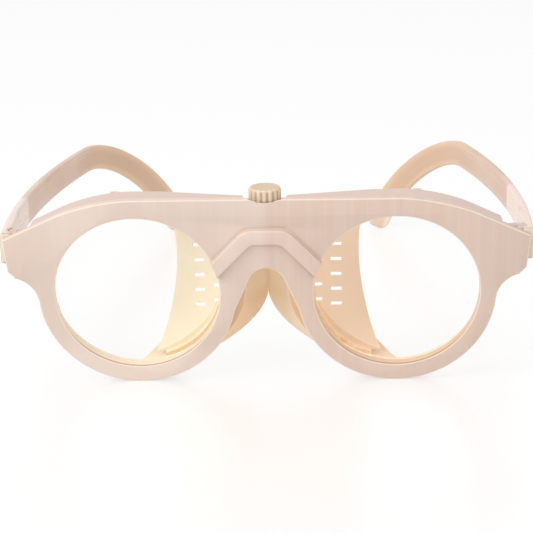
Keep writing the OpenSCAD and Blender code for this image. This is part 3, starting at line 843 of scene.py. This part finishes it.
def strip_stations():
    """Middle point and axes at each station, from the lug to the tip of the hook."""
    step = (ROOT_BACK - STRIP_FRONT) / (ROOT_STEPS - 1)
    root = [STRIP_FRONT + i * step for i in range(ROOT_STEPS)]
    thinned = ROOT_BACK + 0.4
    step = (HOOK_Y - thinned) / (STRAIGHT_STEPS - 1)
    straight = [thinned + i * step for i in range(STRAIGHT_STEPS)]
    stations = []
    for y in root + straight:
        yaw = math.asin((y - BOW_Y) / BOW_R)
        z = STRIP_TOP - STRIP_H / 2 - (y - STRIP_FRONT) * math.tan(TEMPLE_SLOPE)
        stations.append((Vector((bow_x(y), y, z)), strip_axes(yaw, TEMPLE_SLOPE)))

    def hooked(share):
        return strip_axes(yaw + HOOK_YAW * share, TEMPLE_SLOPE + HOOK_FALL * share)

    point = stations[-1][0]
    for i in range(1, HOOK_STEPS + 1):
        ahead = hooked((i - 0.5) / HOOK_STEPS).col[1]
        point = point + ahead * (HOOK_L / HOOK_STEPS)
        stations.append((point, hooked(i / HOOK_STEPS)))
    # The last two before the tip leave room for its round
    del stations[-3:-1]
    return stations


def pin_rod(name, radius, low, high, sides):
    """A cylinder on the hinge's axis."""
    return rod(name, radius, PIN + Vector((0, 0, low)), PIN + Vector((0, 0, high)), sides)


def drawn_strip(name, stations):
    """A thin slab at the first station, drawn out from station to station as it gets slimmer."""
    point, axes = stations[0]
    half_t, half_h = STRIP_T / 2, STRIP_H / 2
    strip = bar(name, (-half_t, -0.3, -half_h), (half_t, 0, half_h))
    strip.matrix_world = Matrix.Translation(point) @ axes.to_4x4()
    take(strip)
    bpy.ops.object.transform_apply(location=True, rotation=True, scale=True)
    choose(strip, "FACE", lambda centre, normal: normal.dot(axes.col[1]) > 0.9)
    shrink = (TIP_H / STRIP_H) ** (1 / (len(stations) - 1))
    for to, next_axes in stations[1:]:
        turn = (next_axes @ axes.inverted()).to_quaternion()
        bpy.ops.mesh.spin(steps=1, angle=-turn.angle, center=point, axis=turn.axis)
        bpy.ops.transform.translate(value=to - point)
        bpy.ops.transform.resize(value=(shrink, shrink, shrink), center_override=to)
        point, axes = to, next_axes
    bpy.ops.object.mode_set(mode="OBJECT")
    return strip


def thicken_root(strip, stations):
    """Moves the strip's inner side inwards, as far back as the root reaches."""
    extra = 0.5
    back, back_axes = stations[ROOT_STEPS - 1]
    choose(strip, "VERT", lambda spot: (
        (spot - back).dot(back_axes.col[1]) < 0.2 and spot.x < bow_x(spot.y)))
    bpy.ops.transform.translate(value=(-extra, 0, 0))
    bpy.ops.object.mode_set(mode="OBJECT")


def round_tip(strip, tip, axes):
    """Rounds the tip's upper and lower edge, which run across the strip's thickness."""
    out, ahead, up = axes.col

    def corner(a, b):
        return (
            (a - tip).length < 6 and (b - tip).length < 6
            and abs((a - b).normalized().dot(out)) > 0.95
            and abs((a - tip).dot(ahead)) < 0.1
            and abs((a - tip).dot(up)) > 2)

    fillet(strip, corner, 3.2, 6)


def round_sides(strip):
    """Rounds the long edges and what else is sharp on the strip."""
    take(strip)
    bpy.ops.object.mode_set(mode="EDIT")
    bpy.context.tool_settings.mesh_select_mode = (False, True, False)
    bpy.ops.mesh.select_all(action="DESELECT")
    bpy.ops.mesh.edges_select_sharp(sharpness=math.radians(60))
    bpy.ops.mesh.bevel(offset=0.8, offset_type="OFFSET", segments=4, affect="EDGES")
    bpy.ops.object.mode_set(mode="OBJECT")


def temple():
    """The right temple: the strip, thicker at its root and rounded, with the eye for its pin."""
    stations = strip_stations()
    strip = drawn_strip("right_temple_moulding", stations)
    thicken_root(strip, stations)
    round_tip(strip, *stations[-1])
    round_sides(strip)
    room_r, eye_r, hole_r = 3.4, 3.1, 1.04
    cut(strip, pin_rod("knuckle_room", room_r, 2, 24, 96))
    join(strip, pin_rod("eye", eye_r, 10.04, 14.6, 96))
    join(strip, bar("web", (PIN.x, 5.8, 10.05), (75.5, 10.2, 14.59)))
    cut(strip, pin_rod("pin_hole", hole_r, 2, 24, 48))
    slice_off(strip, (0, 0, FLOOR_Z), (0, 0, -1))
    soften(strip, 0.2, segments=2, angle=45, smooth=40)
    trace_strip(strip, stations)
    return strip


def trace_strip(strip, stations):
    """Notes for the material how far over, along and out each vertex lies on the strip."""
    lengths = [0.0]
    for (before, _), (after, _) in zip(stations, stations[1:]):
        lengths.append(lengths[-1] + (after - before).length)
    notes = strip.data.attributes.new("strip", "FLOAT_VECTOR", "POINT")
    for vertex, note in zip(strip.data.vertices, notes.data):
        near = min(range(len(stations)), key=lambda i: (stations[i][0] - vertex.co).length_squared)
        middle, axes = stations[near]
        out, ahead, up = (axes.col[k].dot(vertex.co - middle) for k in range(3))
        note.vector = (up / (STRIP_H / 2), (lengths[near] + ahead) / 1000, out / 1000)


def mirrored(piece, name):
    """A copy on the other side of the middle plane, with its own mesh."""
    take(piece)
    bpy.ops.object.duplicate(linked=False)
    copy = bpy.context.object
    copy.name = name
    copy.scale = (-1, 1, 1)
    bpy.ops.object.transform_apply(location=False, rotation=False, scale=True)
    bpy.ops.object.mode_set(mode="EDIT")
    bpy.ops.mesh.select_all(action="SELECT")
    bpy.ops.mesh.normals_make_consistent(inside=False)
    bpy.ops.object.mode_set(mode="OBJECT")
    return copy


settle(front_plate(), "front_body", "front_plastic", "front_frame")
settle(knob(), "knob_body", "knob_plastic", "clamp_knob")
right_strip = temple()
left_strip = mirrored(right_strip, "left_temple_moulding")
settle(left_strip, "left_temple_body", "temple_plastic", "left_temple")
settle(right_strip, "right_temple_body", "temple_plastic", "right_temple")


# The studio: a white floor, a pale surrounding and three soft lamps
def studio_white(name, lit, glow):
    """A pale surface that the camera, mirrors and glass see as white, shadows kept."""
    finish = Finish(name)
    plain = finish.node("ShaderNodeBsdfDiffuse", None, {"Color": lit})
    shown = finish.node("ShaderNodeBsdfDiffuse", None, {"Color": (0.12, 0.12, 0.12, 1.0)})
    sheen = finish.node("ShaderNodeBsdfGlossy", None, {
        "Color": (0.28, 0.28, 0.28, 1.0), "Roughness": 0.3})
    light = finish.node("ShaderNodeEmission", None, {"Color": (1, 1, 1, 1), "Strength": glow})
    both = finish.node("ShaderNodeAddShader", None, {0: shown, 1: sheen})
    both = finish.node("ShaderNodeAddShader", None, {0: both, 1: light})
    values = {0: finish.seen(), 1: plain, 2: both}
    return finish.show(finish.node("ShaderNodeMixShader", None, values))


def studio_world(lit, shown):
    """White where it is seen, and a softer light on the glasses."""
    finish = Finish("studio", bpy.data.worlds)
    strength = finish.node("ShaderNodeMapRange", None, {
        "Value": finish.seen(), "To Min": lit, "To Max": shown})
    return finish.show(finish.node("ShaderNodeBackground", None, {"Strength": strength}), "World")


bpy.ops.object.select_all(action="DESELECT")
bpy.ops.mesh.primitive_plane_add(size=6.0, location=(0, 0, 0))
floor = bpy.context.object
floor.name = "studio_floor"
floor.data.materials.append(studio_white("floor_white", (0.86, 0.86, 0.86, 1.0), 0.65))
bpy.context.scene.world = studio_world(0.64, 1.0)


def softbox(name, place, aim, size, power):
    """A square lamp aimed at the glasses."""
    lamp = bpy.data.lights.new(name, "AREA")
    lamp.shape = "RECTANGLE"
    lamp.size, lamp.size_y = size
    lamp.energy = power
    holder = bpy.data.objects.new(name, lamp)
    bpy.context.scene.collection.objects.link(holder)
    holder.location = place
    toward = Vector(aim) - Vector(place)
    holder.rotation_euler = toward.to_track_quat("-Z", "Y").to_euler()


FACE = (0, -0.02, 0.03)
softbox("left_softbox", (-0.75, -0.55, 0.75), FACE, (0.7, 0.7), 8.25)
softbox("right_softbox", (0.8, -0.6, 0.6), FACE, (0.7, 0.7), 3.0)
softbox("top_softbox", (0.0, 0.15, 1.0), (0, 0, 0.03), (0.9, 0.9), 2.2)

# The camera stands where the photograph's did: 118 mm lens, 20 degrees up, a hair of roll
DISTANCE = 0.500
RISE = math.radians(19.598)
YAW = math.radians(1.747)
PITCH = math.radians(18.724)
ROLL = math.radians(-1.113)
stand = Vector((
    DISTANCE * math.cos(RISE) * math.sin(YAW),
    -DISTANCE * math.cos(RISE) * math.cos(YAW) - MIDDLE_Y / 1000,
    DISTANCE * math.sin(RISE) - FLOOR_Z / 1000,
))
ahead = Vector((
    -math.sin(YAW) * math.cos(PITCH), math.cos(YAW) * math.cos(PITCH), -math.sin(PITCH)))
right = Vector((math.cos(YAW), math.sin(YAW), 0))
up = right.cross(ahead)
turned_right = right * math.cos(ROLL) + up * math.sin(ROLL)
turned_up = up * math.cos(ROLL) - right * math.sin(ROLL)
lens = bpy.data.cameras.new("camera")
lens.lens = 117.95
lens.sensor_width = 36.0
lens.shift_x = 0.00084
lens.clip_start = 0.01
lens.clip_end = 20.0
viewer = bpy.data.objects.new("camera", lens)
bpy.context.scene.collection.objects.link(viewer)
viewer.matrix_world = Matrix.Translation(stand) @ Matrix(
    (turned_right, turned_up, -ahead)).transposed().to_4x4()
bpy.context.scene.camera = viewer
bpy.context.scene.view_settings.view_transform = "Standard"
